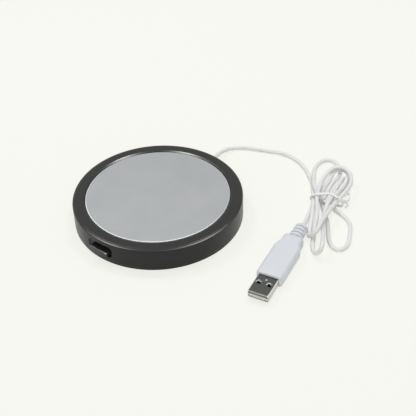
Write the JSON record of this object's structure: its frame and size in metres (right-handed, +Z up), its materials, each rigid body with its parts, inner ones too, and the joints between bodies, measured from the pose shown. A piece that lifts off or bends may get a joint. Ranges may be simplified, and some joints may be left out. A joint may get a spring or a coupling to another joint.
{
  "type": "electric mug warmer",
  "caption": "Low round mug warmer with a recessed aluminium warming plate, a slide switch in its wall and a tied cord with a USB plug.",
  "frame": {"origin": "middle of the round casing, at the height of the surface that it stands on", "axes": "+X to the right of the slide switch, -Y towards the switch, +Y towards the cord's gland, +Z up through the warming plate"},
  "size_m": [0.1558, 0.1588, 0.0155],
  "materials": {
    "casing": "fine-textured black injection-moulded ABS",
    "switch_plastic": "black acetal",
    "foot_rubber": "black silicone rubber",
    "seal": "grey silicone rubber",
    "plate": "satin anodised sheet",
    "film": "amber polyimide film",
    "track": "etched resistance foil",
    "pad": "needled mineral felt",
    "steel": "zinc-plated steel",
    "plug_metal": "nickel-plated folded steel",
    "brass": "stamped brass",
    "cutout_body": "black epoxy case",
    "switch_board": "brown phenolic board",
    "solder": "tin solder",
    "wire_red": "red PVC insulation",
    "wire_white": "white PVC insulation",
    "wire_black": "black PVC insulation",
    "cord": "white PVC sheath",
    "tie": "white plastic over a steel wire",
    "plug_plastic": "white overmoulded PVC",
    "plug_inside": "white nylon"
  },
  "bodies": {
    "warmer": {"upper_housing": "casing", "base_cover": "casing", "foot_pad_1": "foot_rubber", "foot_pad_2": "foot_rubber", "foot_pad_3": "foot_rubber", "foot_pad_4": "foot_rubber", "base_screws": "steel", "hot_plate": "plate", "plate_seal": "seal", "heater_film": "film", "heater_track": "track", "insulation_pad": "pad", "clamp_plate": "steel", "clamp_screws": "steel", "thermal_cutout": "cutout_body", "switch_can": "steel", "switch_base": "switch_board", "switch_terminals": "brass", "switch_screws": "steel", "cord_gland": "cord", "inner_cord": "cord", "cord_clamp": "steel", "cord_clamp_screws": "steel", "wire_supply": "wire_red", "wire_switched": "wire_red", "wire_heater": "wire_white", "wire_return": "wire_black", "solder_joints": "solder", "cord_lead": "cord", "cord_loop_upper": "cord", "cord_hank": "cord", "cord_loop_lower": "cord", "cord_tail": "cord", "twist_tie": "tie", "plug_grip": "plug_plastic", "plug_relief": "plug_plastic", "plug_shell": "plug_metal", "plug_insulator": "plug_inside", "plug_contacts": "brass"},
    "switch_slider": {"switch_knob": "switch_plastic", "switch_lever": "switch_plastic", "switch_contact": "brass"}
  },
  "joints": [
    {"name": "switch_slide", "type": "slide", "parent": "warmer", "child": "switch_slider", "axis": [-1, 0, 0], "range_m": [0, 0.002]}
  ]
}
